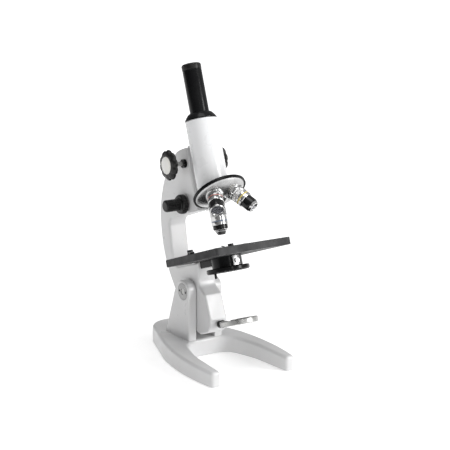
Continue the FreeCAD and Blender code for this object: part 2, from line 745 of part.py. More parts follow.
def lifter_pin():
    """Pin of the focus block that rests on the wedge in the limb."""
    start = s.head_front + s.gap + 6
    finish(cylinder(2.5, start - 21, WORLD), "lifter_pin", ARM, spot(0, -start, lifter_height(), along(Y_AXIS)))


def wedge_slope():
    """Rise of the wedge's ramp for each millimetre of its travel."""
    return 1 / 3


def fine_wedge():
    """Nut on the fine shaft whose sloping top lifts the focus block."""
    body = new_body("fine_wedge")
    half = 5
    ramp = half * wedge_slope()
    top = 8 - 2.5 / math.cos(math.atan(wedge_slope())) - 0.05
    profile = [(-half, -7.5), (half, -7.5), (half, top + ramp), (-half, top - ramp)]
    pad(body, outline(new_sketch(body, "XZ_Plane", -7), profile), 14)
    cut(body, ring(new_sketch(body, "YZ_Plane"), 0, 0, 3 + s.running))
    finish(body, "fine_wedge", ARM, spot(0, -s.fine_y, s.fine_z))


def fine_drive():
    """Fine shaft, its bushes and its two stepped knobs."""
    at_shaft = spot(0, -s.fine_y, s.fine_z, ALONG_X)
    reach = s.fine_outer - 6
    turned("fine_shaft", ARM, at_shaft, [
        (0, -reach), (2.5, -reach), (2.5, -8.9), (3, -8.9), (3, 8.9), (2.5, 8.9), (2.5, reach), (0, reach),
    ])
    bushes = []
    for low in (9.2, -15.4):
        bushes.append(tube(4.5, 2.5 + s.running, 6.2, at_shaft * spot(0, 0, low)))
    group("fine_bushes", ARM, bushes)
    for name, side in (("left", -1), ("right", 1)):
        body = new_body("fine_knob_" + name)
        inner, skirt, outer = s.fine_inner, s.fine_skirt_end, s.fine_outer
        turn(body, outline(new_sketch(body, "XZ_Plane"), [
            (2.5, inner), (s.fine_radius - 0.8, inner), (s.fine_radius, inner + 0.8), (s.fine_radius, skirt - 1.5),
            (s.fine_radius - 1.5, skirt), (s.fine_grip, skirt), (s.fine_grip, outer - 2, 2), (s.fine_grip - 2, outer),
            (0, outer), (0, outer - 6), (2.5, outer - 6),
        ]))
        flute = ring(new_sketch(body, "XY_Plane", outer + 1), s.fine_grip + 0.5, 0, 1)
        repeat_round(body, cut(body, flute, outer - skirt), 16)
        skirt_flute = ring(new_sketch(body, "XY_Plane", skirt + 1), s.fine_radius + 0.6, 0, 1.2)
        repeat_round(body, cut(body, skirt_flute, skirt - inner + 2), 24)
        finish(body, "fine_knob_" + name, ARM, spot(0, -s.fine_y, s.fine_z, along(side * X_AXIS)))


def pitch_radius():
    return s.gear_module * s.gear_teeth / 2


def coarse_pinion():
    """Pinion cut on the coarse shaft."""
    body = new_body("coarse_pinion")
    half = 4
    reach = s.coarse_outer - 3
    tip = pitch_radius() + 0.7
    turn(body, outline(new_sketch(body, "XZ_Plane"), [
        (0, -reach), (3, -reach), (3, -half), (tip, -half), (tip, half), (3, half), (3, reach), (0, reach),
    ]))
    root = pitch_radius() - 1.3
    space = [(root, -0.5), (pitch_radius(), -0.85), (tip + 0.5, -1.25), (tip + 0.5, 1.25), (pitch_radius(), 0.85),
             (root, 0.5)]
    gap_cut = cut(body, outline(new_sketch(body, "XY_Plane", half + 0.1), space), 2 * half + 0.2)
    repeat_round(body, gap_cut, int(s.gear_teeth.value))
    facing = along(X_AXIS) * Rotation(Z_AXIS, -90)
    finish(body, "coarse_pinion", ARM, spot(0, -s.coarse_y, s.coarse_z, facing))
    bushes = []
    at_shaft = spot(0, -s.coarse_y, s.coarse_z, ALONG_X)
    for side in (-1, 1):
        sleeve = cylinder(4.6, 9, at_shaft * spot(0, 0, 5 if side > 0 else -14))
        flange = cylinder(5.6, 4, at_shaft * spot(0, 0, s.block_half if side > 0 else -s.block_half - 4))
        bore = cylinder(3 + s.running, 60, at_shaft * spot(0, 0, -30))
        bushes.append(subtract(fuse(sleeve, flange), bore))
    group("pinion_bushes", ARM, bushes)


def coarse_knobs():
    inner, outer, radius = s.coarse_inner, s.coarse_outer, s.coarse_radius
    for name, side in (("left", -1), ("right", 1)):
        body = new_body("coarse_knob_" + name)
        turn(body, outline(new_sketch(body, "XZ_Plane"), [
            (3, inner - 5), (7, inner - 5), (7, inner), (radius - 1, inner), (radius, inner + 1),
            (radius, outer - 4.5, 6), (13.5, outer), (11.2, outer), (11.2, outer - 1), (0, outer - 1), (0, outer - 3),
            (3, outer - 3),
        ]))
        scallop = ring(new_sketch(body, "XY_Plane", outer + 1), radius + 2.2, 0, 4)
        repeat_round(body, cut(body, scallop, outer - inner + 2), 10)
        finish(body, "coarse_knob_" + name, ARM, spot(0, -s.coarse_y, s.coarse_z, along(side * X_AXIS)))
    discs = []
    at_shaft = spot(0, -s.coarse_y, s.coarse_z, ALONG_X)
    for low in (outer.value - 1, -outer.value - 0.4):
        discs.append(cylinder(11.2, 1.4, at_shaft * spot(0, 0, low)))
    group("coarse_knob_inserts", ARM, discs)


# ---------------------------------------------------------------- tube

def tube_bottom(y):
    """Height of the nosepiece plate's upper face at a distance y behind the hinge."""
    angle = math.radians(s.nose_tilt.value)
    centre = nose_point(-s.plate_rise.value - s.plate_thick.value)
    return centre.z - (y - centre.y) * math.tan(angle)


def nose_axis():
    angle = math.radians(s.nose_tilt.value)
    return Vector(0, -math.sin(angle), -math.cos(angle))


def nose_point(depth):
    """Point on the nosepiece axis, depth below the plane of the objective shoulders."""
    angle = math.radians(s.nose_tilt.value)
    forward = Vector(0, -math.cos(angle), math.sin(angle))
    seat = Vector(0, -s.axis_front.value, s.seat_height.value)
    return seat + forward * s.seat_circle.value + nose_axis() * depth


def nose_frame():
    """Frame with Z along the nosepiece axis, downwards, and its origin in the plane of the shoulders."""
    angle = s.nose_tilt.value
    return Placement(nose_point(0), Rotation(X_AXIS, 180 - angle))


def body_tube():
    """White tube, cut off slanting where the nosepiece sits, with a flat for the guide."""
    body = new_body("body_tube")
    radius = s.tube_radius
    low = 90
    turn(body, outline(new_sketch(body, "XZ_Plane"), [
        (radius - s.tube_wall, low), (radius, low), (radius, s.tube_top - 1), (radius - 1, s.tube_top),
        (radius - s.tube_wall, s.tube_top),
    ]))
    front, back = -30, 30
    slant = [(front, low - 10), (back, low - 10), (back, tube_bottom(back - s.axis_front.value)),
             (front, tube_bottom(front - s.axis_front.value))]
    cut(body, outline(new_sketch(body, "YZ_Plane", 30), slant), 60)
    flat = outline(new_sketch(body, "XY_Plane", s.tube_top + 1), box_corners(-7.2, 7.2, s.axis_front - 57.5, 30))
    cut(body, flat, 28 + 1)
    guide_seat = outline(new_sketch(body, "XY_Plane", 182), box_corners(-6.8, 6.8, s.axis_front - 57.5, 30))
    cut(body, guide_seat, 182 - 106)
    return finish(body, "body_tube", ARM, OPTICAL)


def tube_guide():
    """Dovetail bar on the back of the tube with the rack let into it."""
    low, high = 106, 182
    body = new_body("tube_guide")
    face = s.block_front
    corners = mirrored([(6.8, -57.5), (6.8, -face), (9.1, -face + 3.7)])
    pad(body, outline(new_sketch(body, "XY_Plane", low), corners), high - low)
    slot = outline(new_sketch(body, "XY_Plane", high + 1), box_corners(-4, 4, -face + 2, -face + 5))
    cut(body, slot, high - low + 2)
    finish(body, "tube_guide", ARM)


def focus_rack():
    """Brass rack; its teeth face the pinion, one tooth level with the shaft."""
    body = new_body("focus_rack")
    low, high = 128, 182
    pitch = math.pi * s.gear_module.value
    pitch_line = -s.coarse_y.value - pitch_radius().value
    root = pitch_line - 1
    tip = pitch_line + 0.7
    strip = outline(new_sketch(body, "YZ_Plane", -4), box_corners(-s.block_front + 2, root, low, high))
    pad(body, strip, 8)
    teeth_down = int((s.coarse_z.value - low - 1) / pitch)
    teeth_up = int((high - s.coarse_z.value - 1) / pitch)
    first = s.coarse_z - teeth_down * pitch
    tooth = outline(new_sketch(body, "YZ_Plane", -4), [
        (root - 0.2, first - 0.85), (root, first - 0.85), (tip, first - 0.25), (tip, first + 0.25),
        (root, first + 0.85), (root - 0.2, first + 0.85),
    ])
    feature = pad(body, tooth, 8)
    row = body.newObject("PartDesign::LinearPattern", "teeth")
    row.Originals = [feature]
    row.Direction = (tooth, ["V_Axis"])
    row.Occurrences = teeth_down + teeth_up + 1
    row.Length = (teeth_down + teeth_up) * pitch
    body.Tip = row
    finish(body, "focus_rack", ARM)


def upper_tube():
    """Conical collar, draw tube and the lift-out eyepiece."""
    spigot = s.tube_radius - s.tube_wall
    draw, bore = s.draw_radius, s.draw_bore
    turned("tube_collar", ARM, OPTICAL, [
        (draw, s.tube_top - 8), (spigot, s.tube_top - 8), (spigot, s.tube_top), (s.tube_radius, s.tube_top),
        (s.tube_radius, s.tube_top + 1.2, -26), (draw + 1, s.collar_top), (draw, s.collar_top),
    ])
    turned("draw_tube", ARM, OPTICAL, [
        (bore, s.draw_bottom), (draw, s.draw_bottom), (draw, s.draw_top), (bore, s.draw_top),
    ])
    barrel, rim, top, lip = s.eyepiece_radius, s.rim_radius, s.eyepiece_top, s.draw_top + 0.1
    turned("eyepiece_barrel", ARM, OPTICAL, [
        (barrel - 1, 236), (barrel, 236), (barrel, lip), (barrel - 1, lip),
    ])
    turned("eyepiece_cap", ARM, OPTICAL, [
        (7.2, lip + 0.1), (rim, lip + 0.1), (rim, top - 1), (rim - 1, top), (9, top), (6, top - 2.4),
        (6, lip + 4.2), (7.2, lip + 4.2),
    ])
    turned("eye_lens", ARM, OPTICAL, [
        (0, lip + 0.2), (7.1, lip + 0.2), (7.1, lip + 3, crown_radius(7.1, 1)), (0, lip + 4),
    ])
    turned("field_lens", ARM, OPTICAL, [
        (0, 238.4), (10.5, 238.4), (10.5, 240.4, crown_radius(10.5, 1.4)), (0, 241.8),
    ])
    turned("field_stop", ARM, OPTICAL, [(5.5, 256), (10.6, 256), (10.6, 257.2), (5.5, 257.2)])


# ---------------------------------------------------------------- nosepiece

def nosepiece():
    """Fixed plate, revolving dome with three objective seats, and the pivot screw."""
    frame = nose_frame()
    rise, thick = s.plate_rise, s.plate_thick
    plate_top = -rise - thick
    body = new_body("nosepiece_plate")
    turn(body, outline(new_sketch(body, "XZ_Plane"), [
        (4.1, plate_top), (s.plate_radius - 1, plate_top), (s.plate_radius, plate_top + 0.8),
        (s.plate_radius, -rise + 1.6), (s.plate_radius - 1.6, -rise + 1.6), (s.plate_radius - 1.6, -rise),
        (4.1, -rise),
    ]))
    cut(body, ring(new_sketch(body, "XY_Plane"), 0, 4.6 - s.seat_circle, 7.8))
    finish(body, "nosepiece_plate", ARM, frame)

    dome = new_body("nosepiece_dome")
    turn(dome, outline(new_sketch(dome, "XZ_Plane"), [
        (4.1, -rise + 0.3), (s.plate_radius - 2, -rise + 0.3), (s.plate_radius - 2, -rise + 1, 46), (18, -1.2, 30),
        (7, 3.2), (7, 3), (4.1, 3),
    ]))
    for turn_angle in (60, 180, 300):
        seat = seat_frame(turn_angle)
        boss = doc.addObject("PartDesign::AdditiveCylinder", "boss")
        dome.addObject(boss)
        drive(boss, Radius=s.thread_radius + 1.4, Height=7)
        boss.Placement = seat * spot(0, 0, -7)
        bore = doc.addObject("PartDesign::SubtractiveCylinder", "bore")
        dome.addObject(bore)
        drive(bore, Radius=8.2, Height=30)
        bore.Placement = seat * spot(0, 0, -20)
    hollow = outline(new_sketch(dome, "XZ_Plane"), [
        (8, -rise - 8), (s.plate_radius + 6, -rise - 8), (s.plate_radius + 6, -rise + 0.3), (8, -rise + 0.3),
    ])
    groove = dome.newObject("PartDesign::Groove", "trim")
    groove.Profile = hollow
    groove.ReferenceAxis = (hollow, ["V_Axis"])
    groove.Angle = 360
    finish(dome, "nosepiece_dome", ARM, frame)

    turned("nosepiece_pivot", ARM, frame, [
        (0, plate_top - 2), (4, plate_top - 2), (4, 3.1), (6.5, 3.1), (6.5, 4.6, crown_radius(6.5, 1.6)), (0, 6.2),
    ])


def seat_frame(turn_angle):
    """Frame of one objective in the nosepiece frame: Z points out of the seat."""
    lean = Rotation(X_AXIS, -s.nose_tilt.value)
    seat = Placement(Vector(0, s.seat_circle.value, 0), lean)
    return Placement(Vector(), Rotation(Z_AXIS, turn_angle)) * seat


OBJECTIVES = [
    # name, turn on the nosepiece, sleeve radius, sleeve end, band start, nose radius, tip radius, tip
    ("4x", 60, 10.3, 17, 9, 9.2, 8.9, 29.2),
    ("10x", 300, 10.3, 18, 12, 8.9, 7.2, 32),
    ("40x", 180, 10.4, 26, 19, 9.5, 4.6, 37.7),
]


def objectives():
    """Sleeve with its colour groove, nose and front lens of each objective."""
    lenses = []
    for name, turn_angle, sleeve, sleeve_end, band, nose, tip_radius, tip in OBJECTIVES:
        frame = nose_frame() * seat_frame(turn_angle)
        turned("objective_%s_sleeve" % name, ARM, frame, [
            (5, -5), (8.2, -5), (8.2, 0), (sleeve + 1, 0), (sleeve + 1, 2.2), (sleeve, 3), (sleeve, band),
            (sleeve - 0.8, band), (sleeve - 0.8, band + 2.4), (sleeve, band + 2.4), (sleeve, sleeve_end - 0.6),
            (sleeve - 0.6, sleeve_end), (5, sleeve_end),
        ])
        shoulder = tip - 4.5
        turned("objective_%s_nose" % name, ARM, frame, [
            (4, sleeve_end), (nose, sleeve_end), (nose, shoulder), (tip_radius, tip), (tip_radius - 1.6, tip),
            (tip_radius - 2.4, tip - 1.2), (tip_radius - 2.4, tip - 3), (4 if tip_radius > 6.4 else 2, tip - 3),
            (2, sleeve_end + 2), (4, sleeve_end + 2),
        ] if tip_radius < 6.4 else [
            (4, sleeve_end), (nose, sleeve_end), (nose, shoulder), (tip_radius, tip), (tip_radius - 1.6, tip),
            (tip_radius - 2.4, tip - 3), (4, tip - 3),
        ])
        lens_radius = tip_radius - 2.4
        lenses.append(cylinder(lens_radius, 1.4, frame * spot(0, 0, tip - 3)))
    group("objective_lenses", ARM, lenses)


# ---------------------------------------------------------------- build and export

def check_document():
    doc.recompute()
    for obj in doc.Objects:
        if "Invalid" in obj.State or "Error" in obj.State:
            raise RuntimeError("%s: %s" % (obj.Name, obj.State))
    for obj in subparts:
        if obj.Shape.isNull() or not obj.Shape.isValid():
            raise RuntimeError("bad shape in " + obj.Label)


def export():
    os.makedirs("parts", exist_ok=True)
    for obj in subparts:
        obj.Shape.exportStep("parts/%s.step" % obj.Label)


base_casting()
base_feet()
hinge()
stop_pin()
limb_casting()
hinge_bush()
stage()
stage_screws()
clips()
condenser()
iris()
mirror()
focus_block()
lifter_pin()
fine_wedge()
fine_drive()
coarse_pinion()
coarse_knobs()
body_tube()
tube_guide()
focus_rack()
upper_tube()
nosepiece()
objectives()
check_document()
export()
print("%d sub-parts" % len(subparts))
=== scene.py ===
"""Looks of the tilting student microscope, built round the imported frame."""

import json
import math

import bmesh
import bpy
from mathutils import Matrix, Vector


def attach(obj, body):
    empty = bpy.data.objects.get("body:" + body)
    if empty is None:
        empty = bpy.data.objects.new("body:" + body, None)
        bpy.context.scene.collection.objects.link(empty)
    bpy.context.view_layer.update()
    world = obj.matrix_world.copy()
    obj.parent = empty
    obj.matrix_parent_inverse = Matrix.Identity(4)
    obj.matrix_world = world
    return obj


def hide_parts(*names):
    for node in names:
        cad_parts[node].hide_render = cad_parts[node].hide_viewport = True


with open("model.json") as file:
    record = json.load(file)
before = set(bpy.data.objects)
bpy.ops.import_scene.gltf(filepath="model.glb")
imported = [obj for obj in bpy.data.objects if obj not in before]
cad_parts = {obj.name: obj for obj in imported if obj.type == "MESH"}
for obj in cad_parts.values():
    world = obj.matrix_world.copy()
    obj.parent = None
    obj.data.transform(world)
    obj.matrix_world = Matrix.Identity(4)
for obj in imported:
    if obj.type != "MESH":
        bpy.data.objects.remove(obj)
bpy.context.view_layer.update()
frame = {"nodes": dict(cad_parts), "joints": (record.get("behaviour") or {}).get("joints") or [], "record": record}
NODES = frame["nodes"]
JOINTS = {joint["name"]: joint for joint in frame["joints"]}
MM = 0.001

# ---------------------------------------------------------------- places from the frame

HINGE = Vector(JOINTS["arm_tilt"]["pos_m"])
ARM_UP = Vector(JOINTS["coarse_focus"]["axis"]).normalized()
ARM_BACK = Vector(JOINTS["mirror_swivel"]["axis"]).normalized()
RIGHT = Vector((1, 0, 0))
IRIS_HEIGHT = 16  # of the iris joint above the optical frame's origin, in millimetres


def axes_frame(origin, x_axis, y_axis, z_axis):
    """Matrix of a frame with these axes and origin."""
    matrix = Matrix((x_axis, y_axis, z_axis)).transposed().to_4x4()
    matrix.translation = origin
    return matrix


ARM = axes_frame(HINGE, RIGHT, ARM_BACK, ARM_UP)
OPTICAL = ARM.copy()
OPTICAL.translation = Vector(JOINTS["iris_turn"]["pos_m"]) - ARM_UP * IRIS_HEIGHT * MM
NOSE_AXIS = Vector(JOINTS["nosepiece_turn"]["axis"]).normalized()
NOSE_PIVOT = Vector(JOINTS["nosepiece_turn"]["pos_m"])
NOSE = axes_frame(NOSE_PIVOT, RIGHT, NOSE_AXIS.cross(RIGHT), NOSE_AXIS)

# ---------------------------------------------------------------- camera, floor and light

VIEW_AZIMUTH = math.radians(-33.54)
VIEW_ELEVATION = math.radians(12.9)
VIEW_DISTANCE = 1.6385
VIEW_TARGET = Vector((0, -0.043, 0.185))
LENS = 104.3
SENSOR = 36
CLIP_END = 100

WALL_DARK = 0.02
WALL_BRIGHT = 0.62
BRIGHT_SIDE = Vector((0.75, -0.45, 0.48)).normalized()

FLOOR_EDGE = 40
FLOOR_WHITE = (0.97, 0.97, 0.97, 1)
GLOW_FROM, GLOW_TO = 0.3, 1.5  # metres from the origin
GLOW_NEAR, GLOW_FAR = 0.36, 0.80

# Each light's place, its size, both in metres, and its power in watts.
LIGHTS = {
    "key": ((1.2, -1.7, 0.8), (0.5, 1.0), 24),
    "strip": ((-0.35, -2.0, 0.75), (0.10, 1.0), 2.5),
    "top": ((-0.2, -0.2, 2.0), (1.2, 1.2), 14),
}


def aim(obj, target):
    """Points an object's -Z at target with its top upwards."""
    obj.rotation_euler = (target - obj.location).to_track_quat("-Z", "Y").to_euler()


def add_camera():
    camera = bpy.data.objects.new("camera", bpy.data.cameras.new("camera"))
    bpy.context.collection.objects.link(camera)
    back = Vector((
        math.sin(VIEW_AZIMUTH) * math.cos(VIEW_ELEVATION),
        -math.cos(VIEW_AZIMUTH) * math.cos(VIEW_ELEVATION),
        math.sin(VIEW_ELEVATION),
    ))
    camera.location = VIEW_TARGET + back * VIEW_DISTANCE
    aim(camera, VIEW_TARGET)
    camera.data.lens = LENS
    camera.data.sensor_width = SENSOR
    camera.data.clip_end = CLIP_END
    bpy.context.scene.camera = camera


def add_light(name, place, size, power):
    """Soft box aimed at the middle of the object."""
    data = bpy.data.lights.new(name, "AREA")
    data.shape = "RECTANGLE"
    data.size, data.size_y = size
    data.energy = power
    light = bpy.data.objects.new(name, data)
    bpy.context.collection.objects.link(light)
    light.location = place
    aim(light, VIEW_TARGET)


def add_world():
    """Studio walls: bright in front on the right, darker on the left and behind."""
    world = bpy.data.worlds.new("studio")
    bpy.context.scene.world = world
    world.use_nodes = True
    tree = world.node_tree
    direction = tree.nodes.new("ShaderNodeTexCoord")
    facing = tree.nodes.new("ShaderNodeVectorMath")
    facing.operation = "DOT_PRODUCT"
    facing.inputs[1].default_value = BRIGHT_SIDE
    level = tree.nodes.new("ShaderNodeMapRange")
    level.inputs["From Min"].default_value = -1
    level.inputs["To Min"].default_value = WALL_DARK
    level.inputs["To Max"].default_value = WALL_BRIGHT
    tree.links.new(direction.outputs["Generated"], facing.inputs[0])
    tree.links.new(facing.outputs["Value"], level.inputs["Value"])
    tree.links.new(level.outputs["Result"], tree.nodes["Background"].inputs["Strength"])
    tree.nodes["Background"].inputs["Color"].default_value = (1, 1, 1, 1)


def add_floor():
    """White paper that glows a little, and more further out, so that soft light leaves it white."""
    mesh = bpy.data.meshes.new("floor")
    edge = FLOOR_EDGE
    corners = [(-edge, -edge, 0), (edge, -edge, 0), (edge, edge, 0), (-edge, edge, 0)]
    mesh.from_pydata(corners, [], [(0, 1, 2, 3)])
    floor = bpy.data.objects.new("floor", mesh)
    bpy.context.collection.objects.link(floor)
    paper = bpy.data.materials.new("floor_paper")
    paper.use_nodes = True
    shader = paper.node_tree.nodes["Principled BSDF"]
    shader.inputs["Base Color"].default_value = FLOOR_WHITE
    shader.inputs["Emission Color"].default_value = (1, 1, 1, 1)
    glow = paper.node_tree.nodes.new("ShaderNodeMapRange")
    limits = {"From Min": GLOW_FROM, "From Max": GLOW_TO, "To Min": GLOW_NEAR, "To Max": GLOW_FAR}
    for socket, value in limits.items():
        glow.inputs[socket].default_value = value
    place = paper.node_tree.nodes.new("ShaderNodeTexCoord")
    distance = paper.node_tree.nodes.new("ShaderNodeVectorMath")
    distance.operation = "LENGTH"
    paper.node_tree.links.new(place.outputs["Object"], distance.inputs[0])
    paper.node_tree.links.new(distance.outputs["Value"], glow.inputs["Value"])
    paper.node_tree.links.new(glow.outputs["Result"], shader.inputs["Emission Strength"])
    shader.inputs["Roughness"].default_value = 0.95
    shader.inputs["Specular IOR Level"].default_value = 0.1
    mesh.materials.append(paper)


def add_studio():
    bpy.context.scene.view_settings.view_transform = "Standard"
    add_world()
    add_floor()
    for name, (place, size, power) in LIGHTS.items():
        add_light(name, Vector(place), size, power)


# ---------------------------------------------------------------- materials

# Noise levels between which patches, handling marks and breaks in an edge go from none to full.
PATCH_FADE = (0.38, 0.72)
MARK_FADE = (0.3, 0.7)
BREAK_FADE = (0.42, 0.60)
BREAK_SCALE = 420
# Cosine of the angle between the true and the rounded normal, from flat to a full edge.
EDGE_FADE = (0.99, 0.80)
# Radians per metre of a wave texture of scale 1.
WAVE_RATE = 20


class Surface:
    """Principled material whose colour, roughness and bump come from procedural nodes."""

    def __init__(self, name, color, roughness, metallic=0.0, **fixed):
        self.material = bpy.data.materials.new(name)
        self.material.use_nodes = True
        self.tree = self.material.node_tree
        self.shader = self.tree.nodes["Principled BSDF"]
        self.shader.inputs["Metallic"].default_value = metallic
        self.shader.inputs["Roughness"].default_value = roughness
        for socket, value in fixed.items():
            self.shader.inputs[socket.replace("_", " ")].default_value = value
        self.place = self.node("ShaderNodeTexCoord").outputs["Object"]
        self.rest_color = (*color, 1)
        self.color = None
        self.normal = None

    def node(self, kind, settings=None, **inputs):
        node = self.tree.nodes.new(kind)
        for name, value in (settings or {}).items():
            setattr(node, name, value)
        for name, value in inputs.items():
            self.feed(node.inputs[name.replace("_", " ")], value)
        return node

    def feed(self, socket, value):
        """Links a socket, or sets it to a plain value."""
        if isinstance(value, bpy.types.NodeSocket):
            self.tree.links.new(value, socket)
        else:
            socket.default_value = value

    def noise(self, scale, detail, stretch=(1, 1, 1)):
        place = self.node("ShaderNodeMapping", Vector=self.place, Scale=stretch).outputs["Vector"]
        texture = self.node("ShaderNodeTexNoise", Vector=place, Scale=scale, Detail=detail)
        return texture.outputs["Fac"]

    def ranged(self, value, low, high, to_low, to_high):
        node = self.node("ShaderNodeMapRange", Value=value)
        limits = {"From Min": low, "From Max": high, "To Min": to_low, "To Max": to_high}
        for name, number in limits.items():
            node.inputs[name].default_value = number
        return node.outputs["Result"]

    def blend(self, share, other):
        """Mixes another colour in by share, a socket from 0 to 1."""
        mix = self.node("ShaderNodeMix", {"data_type": "RGBA"})
        self.feed(mix.inputs["Factor"], share)
        self.feed(mix.inputs["A"], self.color or self.rest_color)
        self.feed(mix.inputs["B"], (*other, 1))
        self.color = mix.outputs["Result"]
        self.feed(self.shader.inputs["Base Color"], self.color)
        return self

    def mottle(self, other, scale, amount, stretch=(1, 1, 1)):
        """Uneven colour: patches of another colour."""
        patches = self.ranged(self.noise(scale, 5, stretch), *PATCH_FADE, 0, amount)
        return self.blend(patches, other)

    def roughen(self, low, high, scale, stretch=(1, 1, 1)):
        """Handling marks: roughness that varies over the surface."""
        marks = self.ranged(self.noise(scale, 6, stretch), *MARK_FADE, low, high)
        self.feed(self.shader.inputs["Roughness"], marks)
        return self

    def bump(self, height, distance):
        """Adds a height map on top of the bumps so far."""
        inputs = {"Height": height, "Distance": distance}
        if self.normal:
            inputs["Normal"] = self.normal
        self.normal = self.node("ShaderNodeBump", **inputs).outputs["Normal"]
        self.feed(self.shader.inputs["Normal"], self.normal)
        return self

    def grain(self, scale, distance, stretch=(1, 1, 1)):
        return self.bump(self.noise(scale, 3, stretch), distance)

    def worn_edges(self, other, radius, amount):
        """Colour of the metal or primer that shows along sharp edges, broken up by noise."""
        rounded = self.node("ShaderNodeBevel", {"samples": 4}, Radius=radius).outputs["Normal"]
        flat = self.node("ShaderNodeNewGeometry").outputs["Normal"]
        alike = self.node("ShaderNodeVectorMath", {"operation": "DOT_PRODUCT"})
        self.feed(alike.inputs[0], rounded)
        self.feed(alike.inputs[1], flat)
        edge = self.ranged(alike.outputs["Value"], *EDGE_FADE, 0, 1)
        breaks = self.ranged(self.noise(BREAK_SCALE, 3), *BREAK_FADE, 0, amount)
        share = self.node("ShaderNodeMath", {"operation": "MULTIPLY"})
        self.feed(share.inputs[0], edge)
        self.feed(share.inputs[1], breaks)
        return self.blend(share.outputs["Value"], other)

    def grooves(self, place, spacing, distance):
        """Fine tool marks round the Z axis of a frame."""
        local = self.node("ShaderNodeMapping", {"vector_type": "TEXTURE"}, Vector=self.place)
        local.inputs["Location"].default_value = place.to_translation()
        local.inputs["Rotation"].default_value = place.to_euler()
        wave = self.node(
            "ShaderNodeTexWave", {"wave_type": "BANDS", "bands_direction": "Z"},
            Vector=local.outputs["Vector"], Scale=math.tau / (WAVE_RATE * spacing),
            Distortion=1.5, Detail=2.0,
        )
        return self.bump(wave.outputs["Fac"], distance)


def white_enamel():
    """Semi-gloss enamel on castings: orange peel, warm mottling, handling marks, primer at edges."""
    paint = Surface(
        "white_enamel", (0.68, 0.68, 0.685), 0.38, Coat_Weight=0.15, Coat_Roughness=0.15,
    )
    paint.mottle((0.63, 0.625, 0.61), 28, 0.5)
    paint.mottle((0.74, 0.74, 0.745), 9, 0.6)
    paint.worn_edges((0.55, 0.54, 0.52), 0.8 * MM, 0.5)
    paint.roughen(0.27, 0.46, 65)
    paint.grain(900, 0.05 * MM)
    paint.grain(160, 0.08 * MM)
    return paint.material


def white_tube_enamel():
    """Smoother enamel on the turned body tube."""
    paint = Surface("tube_enamel", (0.74, 0.745, 0.755), 0.30, Coat_Weight=0.25, Coat_Roughness=0.1)
    paint.mottle((0.69, 0.69, 0.685), 22, 0.5)
    paint.worn_edges((0.50, 0.50, 0.48), 0.6 * MM, 0.5)
    paint.roughen(0.22, 0.38, 70)
    paint.grain(700, 0.03 * MM)
    return paint.material


def black_enamel(name, coat):
    """Black enamel, worn grey along its edges; more coat is glossier."""
    paint = Surface(
        name, (0.004, 0.004, 0.0045), 0.3,
        Specular_IOR_Level=0.12, Coat_Weight=coat, Coat_Roughness=0.08,
    )
    paint.mottle((0.009, 0.0095, 0.010), 40, 0.7)
    paint.worn_edges((0.12, 0.12, 0.12), 0.4 * MM, 0.5)
    paint.roughen(0.16, 0.30, 90)
    paint.grain(1100, 0.03 * MM)
    return paint.material


def stage_crackle():
    """Hard-wearing black crackle finish of the stage, rubbed smooth in places."""
    paint = Surface("stage_crackle", (0.034, 0.034, 0.035), 0.5, Specular_IOR_Level=0.15)
    paint.mottle((0.075, 0.075, 0.077), 60, 0.8)
    paint.worn_edges((0.28, 0.28, 0.28), 0.6 * MM, 0.6)
    paint.roughen(0.36, 0.62, 45)
    cells = paint.node("ShaderNodeTexVoronoi", Vector=paint.place, Scale=850.0)
    paint.bump(cells.outputs["Distance"], 0.10 * MM)
    return paint.material


def black_phenolic():
    """Moulded black plastic of the knobs and the eyecup, rubbed grey along its edges."""
    plastic = Surface("black_phenolic", (0.007, 0.007, 0.007), 0.28, Specular_IOR_Level=0.3)
    plastic.mottle((0.018, 0.017, 0.016), 120, 0.6)
    plastic.worn_edges((0.09, 0.085, 0.08), 0.6 * MM, 0.7)
    plastic.roughen(0.20, 0.45, 180)
    plastic.grain(1400, 0.03 * MM)
    return plastic.material


def white_insert():
    """Moulded white discs, a little yellowed."""
    plastic = Surface("white_insert", (0.80, 0.80, 0.78), 0.35, IOR=1.5)
    plastic.mottle((0.72, 0.70, 0.62), 70, 0.6)
    plastic.roughen(0.28, 0.45, 120)
    plastic.grain(900, 0.03 * MM)
    return plastic.material


def chrome(place, name):
    """Polished chrome over turned brass: faint tool marks, hazy patches, fine wipe marks."""
    metal = Surface(name, (0.62, 0.62, 0.62), 0.10, metallic=1.0)
    metal.mottle((0.40, 0.40, 0.395), 45, 0.6)
    metal.roughen(0.12, 0.22, 120, (1, 1, 0.25))
    metal.grooves(place, 0.35 * MM, 0.002 * MM)
    return metal.material


def satin_nickel(place, name):
    """Satin plated dome: greyer and softer than the chrome, with darker handling streaks."""
    metal = Surface(name, (0.50, 0.50, 0.50), 0.25, metallic=1.0)
    metal.mottle((0.26, 0.26, 0.26), 60, 0.6)
    metal.roughen(0.20, 0.34, 140)
    metal.grooves(place, 0.5 * MM, 0.006 * MM)
    return metal.material


def turned_steel(place, name, color=(0.50, 0.50, 0.49)):
    """Turned steel with visible tool marks and a few dull spots."""
    metal = Surface(name, color, 0.3, metallic=1.0)
    metal.mottle(tuple(0.6 * channel for channel in color), 130, 0.5)
    metal.roughen(0.22, 0.42, 200)
    metal.grooves(place, 0.4 * MM, 0.01 * MM)
    return metal.material


def blued_steel():
    """Blackened spring steel, rubbed brighter at its edges."""
    metal = Surface("blued_steel", (0.018, 0.019, 0.022), 0.42, metallic=0.1, Specular_IOR_Level=0.25)
    metal.mottle((0.05, 0.048, 0.045), 150, 0.6)
    metal.worn_edges((0.20, 0.20, 0.195), 0.1 * MM, 0.4)
    metal.roughen(0.24, 0.46, 220)
    metal.grain(900, 0.02 * MM)
    return metal.material


